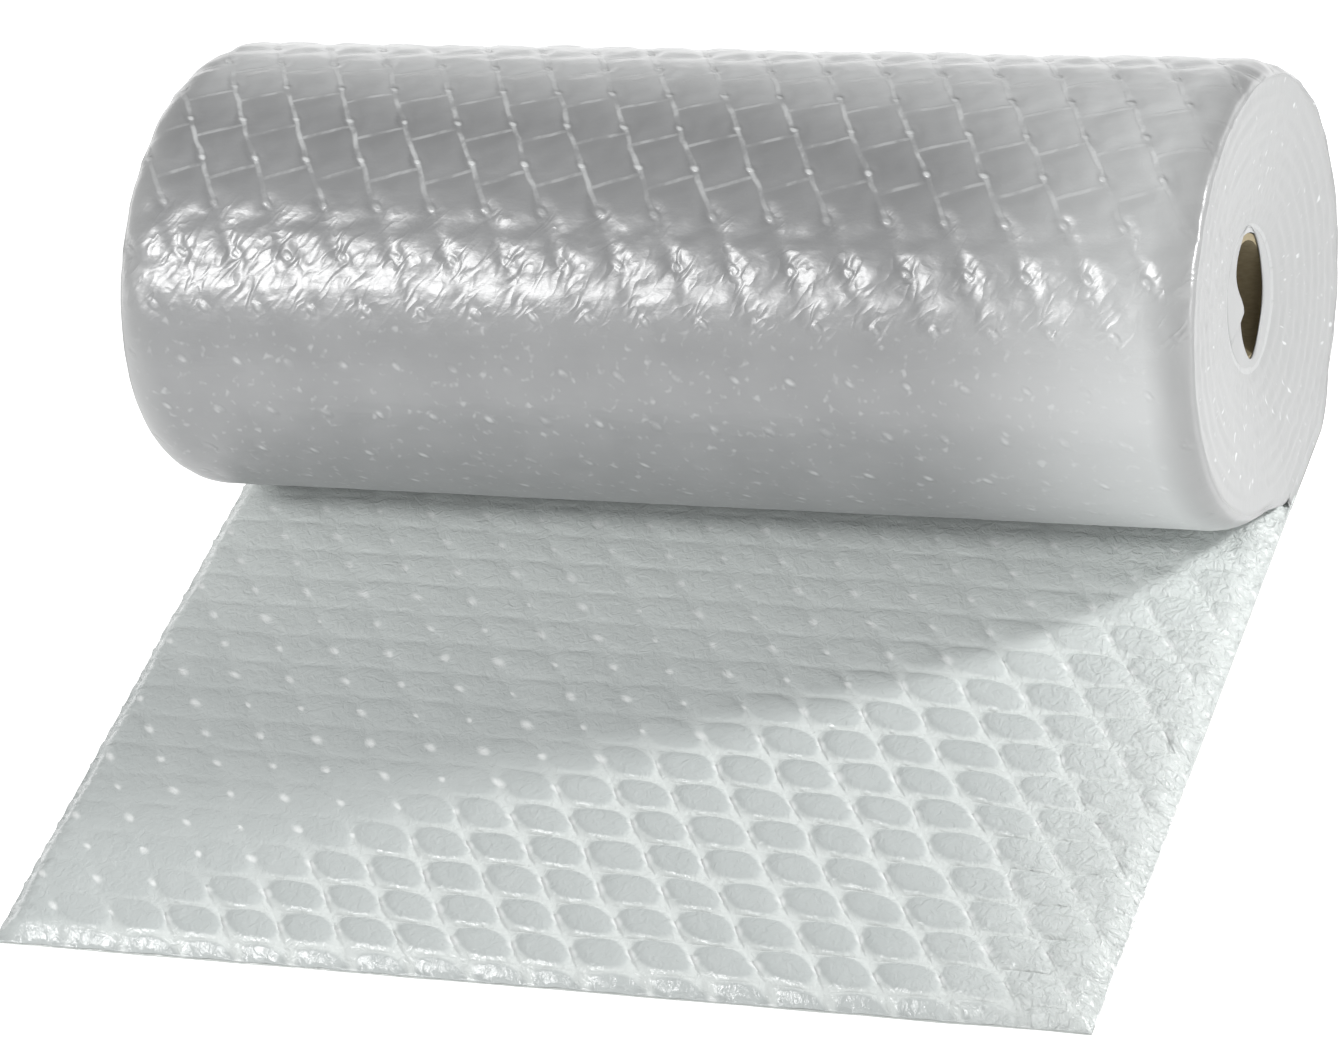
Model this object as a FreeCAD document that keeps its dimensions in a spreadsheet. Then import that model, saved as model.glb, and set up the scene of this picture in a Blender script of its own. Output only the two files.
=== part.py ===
import FreeCAD
import Part
import Sketcher
import math
import os

# Roll of large-bubble cushioning film on a cardboard core, with its loose end run out on the floor.
# X runs along the roll's axis, the loose end lies towards -Y, and Z is up.
# The section is drawn with the core's axis over Y = 0 and the floor at Z = 0, and the finished
# pieces are then moved so that the origin is under the middle of the whole footprint.

doc = FreeCAD.newDocument("bubble_wrap_roll")

# Driving dimensions, in millimetres and degrees
DIMENSIONS = [
    ("web_width", 500.0),
    ("tail_reach", 337.0),
    ("core_bore_radius", 25.0),
    ("core_wall", 3.0),
    ("core_recess", 9.0),
    ("core_clearance", 0.3),
    ("turn_count", 10),
    ("side_layer", 7.9),
    ("top_layer", 6.75),
    ("turn_gap", 0.45),
    ("flat_half_angle", 15.0),
    ("film_thickness", 1.2),
    ("bubble_pitch", 27.2),
    ("row_gap", 0.6),
    ("bubble_radius", 11.1),
    ("bubble_top_radius", 9.0),
    ("bubble_height", 7.5),
    ("edge_margin", 2.0),
    ("roll_clearance", 1.0),
]
sheet = doc.addObject("Spreadsheet::Sheet", "sizes")
for row, (name, value) in enumerate(DIMENSIONS, start=1):
    sheet.set("A{}".format(row), name)
    sheet.set("B{}".format(row), str(value))
    sheet.setAlias("B{}".format(row), name)
doc.recompute()


def size(name):
    """A driving dimension as a plain number."""
    return float(sheet.get(name))


# Shape of the wound roll
# A point of the roll has a turn number, counted from the core outwards, and an angle about
# the core's axis, measured from straight down towards +Y.
FULL_TURN = 2 * math.pi
TURN_FACETS = 32
LAST_TURN_ARCS = 8
SEARCH_STEP = math.radians(1)

turns = int(size("turn_count"))
inner_radius = size("core_bore_radius") + size("core_wall") + size("core_clearance")
side_step = size("side_layer") + size("turn_gap")
top_step = size("top_layer") + size("turn_gap")
gap_share = size("turn_gap") / side_step
flat_angle = math.radians(size("flat_half_angle"))
film_thickness = size("film_thickness")


def free_step(angle):
    """Growth of the radius in one turn: the layers are thinner above the core than beside it."""
    return 1 / math.hypot(math.sin(angle) / side_step, math.cos(angle) / top_step)


axis_height = (inner_radius + turns * free_step(flat_angle)) * math.cos(flat_angle)


def turn_step(angle):
    """Growth of the radius in one turn, with the underside pressed flat on the floor."""
    down = math.cos(angle)
    if down < math.cos(flat_angle):
        return free_step(angle)
    return (axis_height / down - inner_radius) / turns


def roll_point(turn, angle):
    """A point of the section at this turn and angle."""
    radius = inner_radius + turn * turn_step(angle)
    return FreeCAD.Vector(0, radius * math.sin(angle), axis_height - radius * math.cos(angle))


# The film is wound from the core outwards, and a place along it is the angle wound so far.
# A turn begins at the back edge of the flat spot, and the last one ends there.
wound_end = turns * FULL_TURN


def outer_turn(place):
    """Turn number of the film's outer side."""
    return place / FULL_TURN


def inner_turn(place):
    """Turn number of the film's inner side: on the core at first, then on the turn before."""
    return max(0.0, place / FULL_TURN - 1 + gap_share)


def side_point(turn_at, place):
    """The point where the film's side with this turn number has been wound this far."""
    return roll_point(turn_at(place), flat_angle + wound_end - place)


def side_points(turn_at, first_turn, end_turn, steps):
    """Points along one side of the film, in equal steps from flat to flat in each turn."""
    step = (FULL_TURN - 2 * flat_angle) / steps
    return [
        side_point(turn_at, turn * FULL_TURN + 2 * flat_angle + i * step)
        for turn in range(first_turn, end_turn)
        for i in range(steps + 1)
    ]


# Film web: wound round the core, then flat under the roll and out along the floor
# The wound film has flat facets inside the roll, and arcs on the outside of its last turn.
last_turn_points = side_points(outer_turn, turns - 1, turns, 2 * LAST_TURN_ARCS)
outer_points = side_points(outer_turn, 0, turns - 1, TURN_FACETS)
inner_points = side_points(inner_turn, 0, turns, TURN_FACETS)
nip = side_point(inner_turn, wound_end + 2 * flat_angle)
tail_reach = size("tail_reach")

facets = Part.makePolygon([nip] + inner_points[::-1] + outer_points + last_turn_points[:1])
arcs = [
    Part.Arc(*last_turn_points[i:i + 3]).toShape()
    for i in range(0, 2 * LAST_TURN_ARCS, 2)
]
tail = Part.makePolygon([
    last_turn_points[-1],
    FreeCAD.Vector(0, -tail_reach, 0),
    FreeCAD.Vector(0, -tail_reach, film_thickness),
    FreeCAD.Vector(0, nip.y - size("bubble_radius"), film_thickness),
    nip,
])
web_section = doc.addObject("Part::Feature", "web_section")
web_section.Shape = Part.Face(Part.Wire(facets.Edges + arcs + tail.Edges))

web_run = doc.addObject("Part::Extrusion", "web_run")
web_run.Base = web_section
web_run.DirMode = "Custom"
web_run.Dir = FreeCAD.Vector(1, 0, 0)
web_run.Solid = True
web_run.Symmetric = True
web_run.setExpression("LengthFwd", "sizes.web_width")


# Bubble: a six-sided cushion that narrows upwards, its foot sunk halfway into the film
def hexagon(radius, height):
    """The corners of a level hexagon, with the first one again at the end."""
    return [
        FreeCAD.Vector(radius * math.cos(corner * math.pi / 3), radius * math.sin(corner * math.pi / 3), height)
        for corner in range(7)
    ]


bubble_top = film_thickness + size("bubble_height")
foot = hexagon(size("bubble_radius"), film_thickness / 2)
crown = hexagon(size("bubble_top_radius"), bubble_top)
side_outlines = [[foot[i], foot[i + 1], crown[i + 1], crown[i], foot[i]] for i in range(6)]
bubble = doc.addObject("Part::Feature", "bubble")
bubble.Shape = Part.Solid(Part.Shell([
    Part.Face(Part.makePolygon(outline)) for outline in side_outlines + [foot, crown]
]))


def covered_reach(height):
    """How far in front of the core's axis the roll hangs lower than this height."""
    angle = -flat_angle
    while True:
        over = side_point(outer_turn, wound_end - FULL_TURN + flat_angle - angle)
        if over.z >= height:
            return -over.y
        angle -= SEARCH_STEP


# Bubble field: rows along X from the front edge to the roll, every other row half a pitch along
# A row lies so close to the next that bubbles side by side on the slant have only the row gap
# between them.
half_pitch = size("bubble_pitch") / 2
slant_spacing = 2 * size("bubble_radius") + size("row_gap")
row_pitch = math.sqrt(slant_spacing ** 2 - half_pitch ** 2)
half_room = size("web_width") / 2 - size("edge_margin") - size("bubble_radius")
front_row = size("edge_margin") + size("bubble_radius") - tail_reach
back_limit = -covered_reach(bubble_top + size("roll_clearance")) - size("bubble_radius")
row_count = int((back_limit - front_row) / row_pitch) + 1
columns_out = int(half_room / size("bubble_pitch"))

bubble_copies = []
for row in range(row_count):
    shift = half_pitch * (row % 2)
    y = front_row + row * row_pitch
    for column in range(-columns_out - 1, columns_out + 1):
        x = column * size("bubble_pitch") + shift
        if abs(x) <= half_room:
            bubble_copies.append(bubble.Shape.translated(FreeCAD.Vector(x, y, 0)))

bubble_field = doc.addObject("Part::Feature", "bubble_field")
bubble_field.Shape = Part.makeCompound(bubble_copies)

web = doc.addObject("Part::Fuse", "web")
web.Label = "bubble_web"
web.Base = web_run
web.Tool = bubble_field

# Cardboard core: a plain tube, a little shorter at each end than the film is wide
core = doc.addObject("PartDesign::Body", "core")
core.Label = "core_tube"
core_ring = core.newObject("Sketcher::SketchObject", "core_ring")
core_ring.AttachmentSupport = [
    (plane, "") for plane in core.Origin.OriginFeatures if plane.Role == "YZ_Plane"
]
core_ring.MapMode = "FlatFace"


def ring_circle(radius, bound_to):
    """A circle about the sketch's origin, drawn at this radius and then tied to the sheet."""
    index = core_ring.addGeometry(Part.Circle(FreeCAD.Vector(), FreeCAD.Vector(0, 0, 1), radius))
    core_ring.addConstraint(Sketcher.Constraint("Coincident", index, 3, -1, 1))
    limit = core_ring.addConstraint(Sketcher.Constraint("Radius", index, radius))
    core_ring.setExpression("Constraints[{}]".format(limit), bound_to)


ring_circle(size("core_bore_radius"), "sizes.core_bore_radius")
ring_circle(size("core_bore_radius") + size("core_wall"), "sizes.core_bore_radius + sizes.core_wall")
core_pad = core.newObject("PartDesign::Pad", "core_pad")
core_pad.Profile = core_ring
core_pad.setExpression("Length", "sizes.web_width - 2 * sizes.core_recess")
core.Tip = core_pad

# Places of the two pieces in the part's own frame
back_reach = roll_point(turns - (FULL_TURN / 4 - flat_angle) / FULL_TURN, FULL_TURN / 4).y
footprint_middle = (back_reach - tail_reach) / 2
web.Placement = FreeCAD.Placement(FreeCAD.Vector(0, -footprint_middle, 0), FreeCAD.Rotation())
core_start = size("core_recess") - size("web_width") / 2
core.Placement = FreeCAD.Placement(
    FreeCAD.Vector(core_start, -footprint_middle, axis_height), FreeCAD.Rotation()
)
doc.recompute()

for item in doc.Objects:
    if "Invalid" in item.State or "Error" in item.State:
        raise RuntimeError("{} could not be built: {}".format(item.Label, item.State))
for piece in (web, core):
    if piece.Shape.isNull() or not piece.Shape.isValid():
        raise RuntimeError("{} has no sound shape".format(piece.Label))

os.makedirs("parts", exist_ok=True)
for piece in (web, core):
    piece.Shape.exportStep("parts/{}.step".format(piece.Label))
    box = piece.Shape.BoundBox
    print(
        piece.Label, "solids", len(piece.Shape.Solids), "faces", len(piece.Shape.Faces),
        "volume", round(piece.Shape.Volume), "box", round(box.XMin, 2), round(box.XMax, 2),
        round(box.YMin, 2), round(box.YMax, 2), round(box.ZMin, 2), round(box.ZMax, 2),
    )
print("core axis at Y", round(-footprint_middle, 3), "Z", round(axis_height, 3))
print("bubble rows", row_count, "bubbles", len(bubble_copies))
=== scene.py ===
import math

import bmesh
import bpy
from mathutils import Matrix, Vector


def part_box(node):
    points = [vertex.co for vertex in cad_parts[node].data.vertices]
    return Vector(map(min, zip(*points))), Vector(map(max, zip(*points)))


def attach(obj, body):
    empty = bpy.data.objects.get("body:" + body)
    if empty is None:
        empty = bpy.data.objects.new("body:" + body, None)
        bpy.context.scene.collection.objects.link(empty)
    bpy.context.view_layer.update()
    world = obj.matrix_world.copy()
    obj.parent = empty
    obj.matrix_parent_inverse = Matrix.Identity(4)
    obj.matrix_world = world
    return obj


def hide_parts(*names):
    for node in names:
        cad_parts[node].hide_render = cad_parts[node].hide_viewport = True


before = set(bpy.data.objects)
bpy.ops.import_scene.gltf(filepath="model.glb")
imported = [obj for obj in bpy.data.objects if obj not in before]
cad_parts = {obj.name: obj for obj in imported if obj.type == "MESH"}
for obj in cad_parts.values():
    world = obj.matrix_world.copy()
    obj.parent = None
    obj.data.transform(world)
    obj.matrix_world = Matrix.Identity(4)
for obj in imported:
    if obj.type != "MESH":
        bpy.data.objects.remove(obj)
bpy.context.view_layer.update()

# Roll of large-bubble cushioning film on a cardboard core, with its loose end run out on the floor.
# X runs along the roll's axis, the loose end lies towards -Y, and Z is up.
# Lengths are in millimetres in the node trees, and every tree's last step brings them to metres.
MM = 0.001
FULL_TURN = 2 * math.pi

# Places taken from the frame, in millimetres
web_low, web_high = (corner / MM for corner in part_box("bubble_web"))
core_low, core_high = (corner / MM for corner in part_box("core_tube"))
half_width = web_high.x
front_edge = web_low.y
axis_y = (core_low.y + core_high.y) / 2
axis_height = (core_low.z + core_high.z) / 2
core_radius = (core_high.z - core_low.z) / 2
core_end = core_high.x

# How the film is wound, as the solid web has it: the steps are the radius gained in one turn, and
# the flat half angle is half the angle at the core over which the roll is pressed flat. Lengths
# round the last turn are counted at the mean radius.
TURNS = 10
CORE_CLEARANCE = 0.3
SIDE_STEP = 8.35
TOP_STEP = 7.2
FLAT_DEGREES = 15
FLAT_HALF_ANGLE = math.radians(FLAT_DEGREES)
MEAN_RADIUS = 102.0
inner_radius = core_radius + CORE_CLEARANCE

# Bubbles of the loose end: rows along X, and slanting lines of bubbles from row to row
BUBBLE_PITCH = 27.2
ROW_PITCH = 18.3
half_pitch = BUBBLE_PITCH / 2
ROW_START_ACROSS = 5.0
FIRST_ROW_FROM_EDGE = -1.2

# Height of a full bubble, depth of the grooves between bubbles, and height of one without air
BUBBLE_TOP = 8.3
SHALLOW_GROOVE = 0.5
DEEP_GROOVE = 2.2
EDGE_FLOOR = 1.3

# The same bubbles as they show through the roll's outer film: pitch, pitch of the rows, the way the
# long seams lean, and a place on the net. Each short seam rises by this share of a row.
NODE_NET = (26.4, 23.6, 1, (59.4, 304.5))
SHORT_SEAM_RISE = 0.34

MATH = "ShaderNodeMath"
MIX = "ShaderNodeMix"
NOISE = "ShaderNodeTexNoise"
RANGE = "ShaderNodeMapRange"
XYZ = "ShaderNodeCombineXYZ"
SPLIT = "ShaderNodeSeparateXYZ"
VECTOR_MATH = "ShaderNodeVectorMath"
MAPPING = "ShaderNodeMapping"

# Settings that many nodes share
SMOOTH = {"interpolation_type": "SMOOTHSTEP"}
COLOUR = {"data_type": "RGBA"}

# A Mix node's inputs for two colours, and its output for the mixed one
FIRST, SECOND, MIXED = 6, 7, 2
WHITE = (1.0, 1.0, 1.0, 1.0)


def add(tree, kind, *inputs, **settings):
    """Adds a node with its settings. An input is a value, a socket, a node whose first output is
    meant, None to leave it alone, or a dictionary of such by the sockets' names."""
    made = tree.nodes.new(kind)
    for name, value in settings.items():
        setattr(made, name, value)
    wanted = {}
    for place, item in enumerate(inputs):
        wanted.update(item if isinstance(item, dict) else {place: item})
    for key, value in wanted.items():
        if isinstance(value, bpy.types.Node):
            value = value.outputs[0]
        if isinstance(value, bpy.types.NodeSocket):
            tree.links.new(value, made.inputs[key])
        elif value is not None:
            made.inputs[key].default_value = value
    return made


def linear(hex_colour):
    """The linear colour of an sRGB hex value."""
    parts = [int(hex_colour[i:i + 2], 16) / 255 for i in (0, 2, 4)]
    return tuple(c / 12.92 if c <= 0.04045 else ((c + 0.055) / 1.055) ** 2.4 for c in parts) + (1.0,)


# Net of bubbles, used by the tree that shapes the wound film and by the materials
def bubble_net(tree, across, along, pitch, row_pitch, lean, start):
    """Nodes for a place on the film, in mm from: the nearest long seam, which leans half a pitch in
    each row, the nearest short seam between two of those, and the nearest point of the net. The
    rows are numbered from the start, a place across and along the film."""
    from_start = add(tree, MATH, along, start[1], operation="SUBTRACT")
    row = add(tree, MATH, from_start, row_pitch, operation="DIVIDE")
    upright = add(tree, MATH, row, -lean * pitch / 2, across, operation="MULTIPLY_ADD")
    from_line = add(tree, MATH, upright, start[0], operation="SUBTRACT")
    column = add(tree, MATH, from_line, pitch, operation="DIVIDE")
    off_column = add(tree, MATH, column, 0.5, -0.5, operation="WRAP")
    line_pitch = pitch * row_pitch / math.hypot(pitch / 2, row_pitch)
    column_share = add(tree, MATH, off_column, operation="ABSOLUTE")
    long_seam = add(tree, MATH, column_share, line_pitch, operation="MULTIPLY")
    between = add(tree, MATH, column, operation="FRACT")
    rise = add(tree, MATH, between, SHORT_SEAM_RISE, row, operation="MULTIPLY_ADD")
    off_middle = add(tree, MATH, rise, 0.5, operation="SUBTRACT")
    off_rise = add(tree, MATH, off_middle, 0.5, -0.5, operation="WRAP")
    rise_share = add(tree, MATH, off_rise, operation="ABSOLUTE")
    short_seam = add(tree, MATH, rise_share, row_pitch, operation="MULTIPLY")
    off_row = add(tree, MATH, row, 0.5, -0.5, operation="WRAP")
    sideways = add(tree, MATH, off_column, pitch, operation="MULTIPLY")
    lengthways = add(tree, MATH, off_row, row_pitch, operation="MULTIPLY")
    offset = add(tree, XYZ, sideways, lengthways, 0.0)
    reach = add(tree, VECTOR_MATH, offset, operation="LENGTH")
    return long_seam, short_seam, reach.outputs["Value"]


# Lit corner of the loose end: beyond a slanting line the bubbles are fuller, and their walls are
# painted whiter where the key lamp lights them
TOWARDS_CORNER = (0.515, -0.857)
CORNER_LINE = (55.0, 105.0)


def towards_lit_corner(tree, spot):
    """Nodes for how far a place on the loose end lies towards the front right corner, in mm."""
    forwards = add(tree, MATH, spot.outputs["Y"], TOWARDS_CORNER[1], operation="MULTIPLY")
    return add(tree, MATH, spot, TOWARDS_CORNER[0], forwards, operation="MULTIPLY_ADD")


# Places across the loose end between which the film towards its right edge grows slack and whiter
SLACKENS = (165.0, 240.0)
WHITENS = (150.0, 245.0)


# Node trees that shape the film
def new_tree(name, sizes):
    """An empty geometry tree with a named input for each size, and its input node."""
    tree = bpy.data.node_groups.new(name, "GeometryNodeTree")
    tree.interface.new_socket("Geometry", in_out="OUTPUT", socket_type="NodeSocketGeometry")
    for label, value in sizes.items():
        kind = "NodeSocketInt" if isinstance(value, int) else "NodeSocketFloat"
        if isinstance(value, bpy.types.Object):
            kind = "NodeSocketObject"
        if isinstance(value, bpy.types.Material):
            kind = "NodeSocketMaterial"
        tree.interface.new_socket(label, in_out="INPUT", socket_type=kind)
    return tree, tree.nodes.new("NodeGroupInput").outputs


def close_tree(tree, geometry, material):
    """Brings the shape to metres, smooths its shading, realizes it and gives it its material."""
    metres = add(tree, "GeometryNodeTransform", {"Geometry": geometry, "Scale": (MM, MM, MM)})
    smooth = add(tree, "GeometryNodeSetShadeSmooth", {"Geometry": metres, "Shade Smooth": True})
    whole = add(tree, "GeometryNodeRealizeInstances", smooth)
    painted = add(tree, "GeometryNodeSetMaterial", {"Geometry": whole, "Material": material})
    add(tree, "NodeGroupOutput", painted)


def make_piece(name, tree, sizes):
    """Runs a tree with these sizes and keeps its result as a plain mesh object."""
    carrier = bpy.data.objects.new(name + "_carrier", bpy.data.meshes.new(name + "_carrier"))
    bpy.context.collection.objects.link(carrier)
    modifier = carrier.modifiers.new("shape", "NODES")
    modifier.node_group = tree
    for item in tree.interface.items_tree:
        if item.in_out == "INPUT":
            modifier[item.identifier] = sizes[item.name]
    bpy.context.view_layer.update()
    shaped = carrier.evaluated_get(bpy.context.evaluated_depsgraph_get())
    mesh = bpy.data.meshes.new_from_object(shaped)
    mesh.name = name
    piece = bpy.data.objects.new(name, mesh)
    bpy.context.collection.objects.link(piece)
    bpy.data.objects.remove(carrier)
    return piece


def roll_radius(tree, sizes, turn, angle):
    """Nodes for the radius at this turn and angle from straight down, as the solid web has it."""
    down = add(tree, MATH, angle, operation="COSINE")
    sideways = add(tree, MATH, angle, operation="SINE")
    side_share = add(tree, MATH, sideways, sizes["Side step"], operation="DIVIDE")
    top_share = add(tree, MATH, down, sizes["Top step"], operation="DIVIDE")
    top_square = add(tree, MATH, top_share, top_share, operation="MULTIPLY")
    squares = add(tree, MATH, side_share, side_share, top_square, operation="MULTIPLY_ADD")
    free_step = add(tree, MATH, squares, operation="INVERSE_SQRT")
    floor_radius = add(tree, MATH, sizes["Axis height"], down, operation="DIVIDE")
    floor_room = add(tree, MATH, floor_radius, sizes["Inner radius"], operation="SUBTRACT")
    floor_step = add(tree, MATH, floor_room, sizes["Turns"], operation="DIVIDE")
    flat_edge = add(tree, MATH, sizes["Flat half angle"], operation="COSINE")
    on_floor = add(tree, MATH, down, flat_edge, operation="GREATER_THAN")
    step = add(tree, MIX, on_floor, None, free_step, floor_step)
    return add(tree, MATH, turn, step, sizes["Inner radius"], operation="MULTIPLY_ADD")


def place_on_roll(tree, sizes, geometry, across, radius, angle, web_place):
    """Stores the place on the flat web and moves each point to its place round the core. The stored
    place is kept on the corners of faces, so where two turns are welded each keeps its own."""
    stored = add(
        tree, "GeometryNodeStoreNamedAttribute",
        {"Geometry": geometry, "Name": "web_place", "Value": web_place},
        data_type="FLOAT_VECTOR", domain="CORNER",
    )
    sideways = add(tree, MATH, angle, operation="SINE")
    down = add(tree, MATH, angle, operation="COSINE")
    y = add(tree, MATH, radius, sideways, sizes["Axis Y"], operation="MULTIPLY_ADD")
    drop = add(tree, MATH, radius, down, operation="MULTIPLY")
    z = add(tree, MATH, sizes["Axis height"], drop, operation="SUBTRACT")
    wound_place = add(tree, XYZ, across, y, z)
    return add(tree, "GeometryNodeSetPosition", {"Geometry": stored, "Position": wound_place})


# Relief of the last turn, in mm
SEAM_HEIGHT = -0.5
BUBBLE_HEIGHT = 0.3
PUCKER_DEPTH = -0.6
LUMP_HEIGHT = 2.4
CREASE_HEIGHT = 1.3
RIM_DEPTH = 20.0
RIM_DROP = 6.5
RIM_POWER = 2.8

# Above the flat spot the relief comes in over this much of the cosine of the angle from straight down
FLOOR_BLEND = 0.12

# Down the front the film hangs clear of the bubbles: from here to here along it, in mm from the
# back edge of the flat spot, the relief falls to this share
HANGS_CLEAR = (375.0, 410.0)
HANGING_SHARE = 0.25


def wound_relief(tree, sizes, across, along, angle, rim):
    """Nodes for how far the last turn stands out, in mm: film that swells over each bubble, is drawn
    in along the seams, lies slack in long waves and rounds off towards its rim. Where it lies on
    the floor it is pressed flat. The rim's share is 1 at the very edge."""
    long_seam, short_seam, node = bubble_net(tree, across, along, *NODE_NET)
    seam = add(tree, MATH, long_seam, short_seam, 3.0, operation="SMOOTH_MIN")
    swell = add(tree, RANGE, seam, 0.0, 7.0, SEAM_HEIGHT, BUBBLE_HEIGHT, **SMOOTH)
    pucker = add(tree, RANGE, node, 1.0, 6.0, PUCKER_DEPTH, 0.0, **SMOOTH)
    place = add(tree, XYZ, across, along, 0.0)
    slack = add(tree, NOISE, {"Vector": place, "Scale": 0.018, "Detail": 2.0})
    off_slack = add(tree, MATH, slack, 0.5, operation="SUBTRACT")
    lumps = add(tree, MATH, off_slack, LUMP_HEIGHT, operation="MULTIPLY")
    crease = add(tree, NOISE, {"Vector": place, "Scale": 0.07, "Detail": 2.0, "Distortion": 1.0})
    off_crease = add(tree, MATH, crease, 0.5, operation="SUBTRACT")
    creases = add(tree, MATH, off_crease, CREASE_HEIGHT, operation="MULTIPLY")
    parts = add(tree, MATH, swell, pucker, operation="ADD")
    parts = add(tree, MATH, parts, lumps, operation="ADD")
    parts = add(tree, MATH, parts, creases, operation="ADD")
    hanging = add(tree, RANGE, along, *HANGS_CLEAR, 1.0, HANGING_SHARE, **SMOOTH)
    parts = add(tree, MATH, parts, hanging, operation="MULTIPLY")
    parts = add(tree, MATH, rim, -RIM_DROP, parts, operation="MULTIPLY_ADD")
    down = add(tree, MATH, angle, operation="COSINE")
    flat_edge = add(tree, MATH, sizes["Flat half angle"], operation="COSINE")
    clear = add(tree, MATH, flat_edge, FLOOR_BLEND, operation="SUBTRACT")
    free = add(tree, RANGE, down, clear, flat_edge, 1.0, 0.0, **SMOOTH)
    return add(tree, MATH, parts, free, operation="MULTIPLY")


# Grid of the last turn and of the coiled ends
COLUMNS_PER_TURN = 288
ROWS_ACROSS = 210
END_LAYERS = 5

# Coiled ends, in mm: how far they go in towards the core, how deep a layer sinks in between its two
# films at the least and the most, and how far one turn may stand out of level with the next
CORE_SETBACK = 8.0
LAYER_HOLLOW = (0.05, 0.8)
TURN_UNEVENNESS = 0.3


def wound_film_tree(sizes):
    """The outside of the last turn and the two coiled ends, from the back edge of the flat spot."""
    tree, given = new_tree("wind the film", sizes)
    # Outside: share of a turn along the grid's X, place across the film along its Y
    width = add(tree, MATH, given["Half width"], 2.0, operation="MULTIPLY")
    sheet = add(
        tree, "GeometryNodeMeshGrid",
        {"Size X": 1.0, "Size Y": width,
         "Vertices X": COLUMNS_PER_TURN + 1, "Vertices Y": ROWS_ACROSS + 1},
    )
    here = add(tree, SPLIT, add(tree, "GeometryNodeInputPosition"))
    share = add(tree, MATH, here, 0.5, operation="ADD")
    across = here.outputs["Y"]
    angle = add(tree, MATH, share, FULL_TURN, given["Flat half angle"], operation="MULTIPLY_ADD")
    # The last stretch of the outside is the loose end where it passes under the roll
    flat_angle = given["Flat half angle"]
    flat_start = add(tree, MATH, flat_angle, -2 / FULL_TURN, 1.0001, operation="MULTIPLY_ADD")
    under = add(tree, MATH, share, flat_start, operation="GREATER_THAN")
    used = add(tree, MIX, under, None, share, 0.0)
    turn = add(tree, MATH, given["Turns"], used, operation="SUBTRACT")
    radius = roll_radius(tree, given, turn, angle)
    along = add(tree, MATH, share, given["Turn length"], operation="MULTIPLY")
    off_middle = add(tree, MATH, across, operation="ABSOLUTE")
    from_rim = add(tree, MATH, given["Half width"], off_middle, operation="SUBTRACT")
    rim_share = add(tree, RANGE, from_rim, 0.0, RIM_DEPTH, 1.0, 0.0)
    rim_curve = add(tree, MATH, rim_share, RIM_POWER, operation="POWER")
    relief = wound_relief(tree, given, across, along, angle, rim_curve)
    outer_radius = add(tree, MATH, radius, relief, operation="ADD")
    outside = place_on_roll(
        tree, given, sheet, across, outer_radius, angle, add(tree, XYZ, across, along, 0.0),
    )
    # Ends: turns wound along the grid's X, and share of a layer's thickness along its Y
    all_turns = add(tree, MATH, flat_angle, 2 / FULL_TURN, given["Turns"], operation="MULTIPLY_ADD")
    end_columns = int(COLUMNS_PER_TURN * (TURNS + 2 * FLAT_HALF_ANGLE / FULL_TURN)) + 1
    strip = add(
        tree, "GeometryNodeMeshGrid",
        {"Size X": all_turns, "Size Y": 1.0, "Vertices X": end_columns, "Vertices Y": END_LAYERS + 1},
    )
    spot = add(tree, SPLIT, add(tree, "GeometryNodeInputPosition"))
    wound = add(tree, MATH, all_turns, 0.5, spot, operation="MULTIPLY_ADD")
    layer = add(tree, MATH, spot.outputs["Y"], 0.5, operation="ADD")
    inward = add(tree, MATH, given["Turns"], wound, operation="SUBTRACT")
    turned = add(tree, MATH, inward, FULL_TURN, given["Flat half angle"], operation="MULTIPLY_ADD")
    outer_turn = add(tree, MATH, wound, given["Turns"], operation="MINIMUM")
    turn_before = add(tree, MATH, wound, 1.0, operation="SUBTRACT")
    inner_turn = add(tree, MATH, turn_before, 0.0, operation="MAXIMUM")
    end_turn = add(tree, MIX, layer, None, inner_turn, outer_turn)
    end_radius = roll_radius(tree, given, end_turn, turned)
    end_along = add(tree, MATH, inward, given["Turn length"], operation="MULTIPLY")
    arc = add(tree, MATH, end_radius, turned, operation="MULTIPLY")
    outermost = add(tree, MATH, layer, 0.99, operation="GREATER_THAN")
    last_turn = add(tree, MATH, inward, 1.0, operation="LESS_THAN")
    edge = add(tree, MATH, outermost, last_turn, operation="MULTIPLY")
    kept = add(tree, MATH, 1.0, edge, operation="SUBTRACT")
    last_layer = add(tree, MATH, layer, last_turn, operation="MULTIPLY")
    depth_share = add(tree, MATH, end_turn, given["Turns"], operation="DIVIDE")
    to_core = add(tree, MATH, 1.0, depth_share, operation="SUBTRACT")
    dish_share = add(tree, MATH, to_core, 2.0, operation="POWER")
    half_wave = add(tree, MATH, layer, math.pi, operation="MULTIPLY")
    film_line = add(tree, MATH, half_wave, operation="SINE")
    parts = add(tree, "GeometryNodeJoinGeometry")
    for side in (1.0, -1.0):
        end_across = add(tree, MATH, given["Half width"], side, operation="MULTIPLY")
        end_relief = wound_relief(tree, given, end_across, end_along, turned, 1.0)
        layer_radius = add(tree, MATH, end_relief, last_layer, end_radius, operation="MULTIPLY_ADD")
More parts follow.
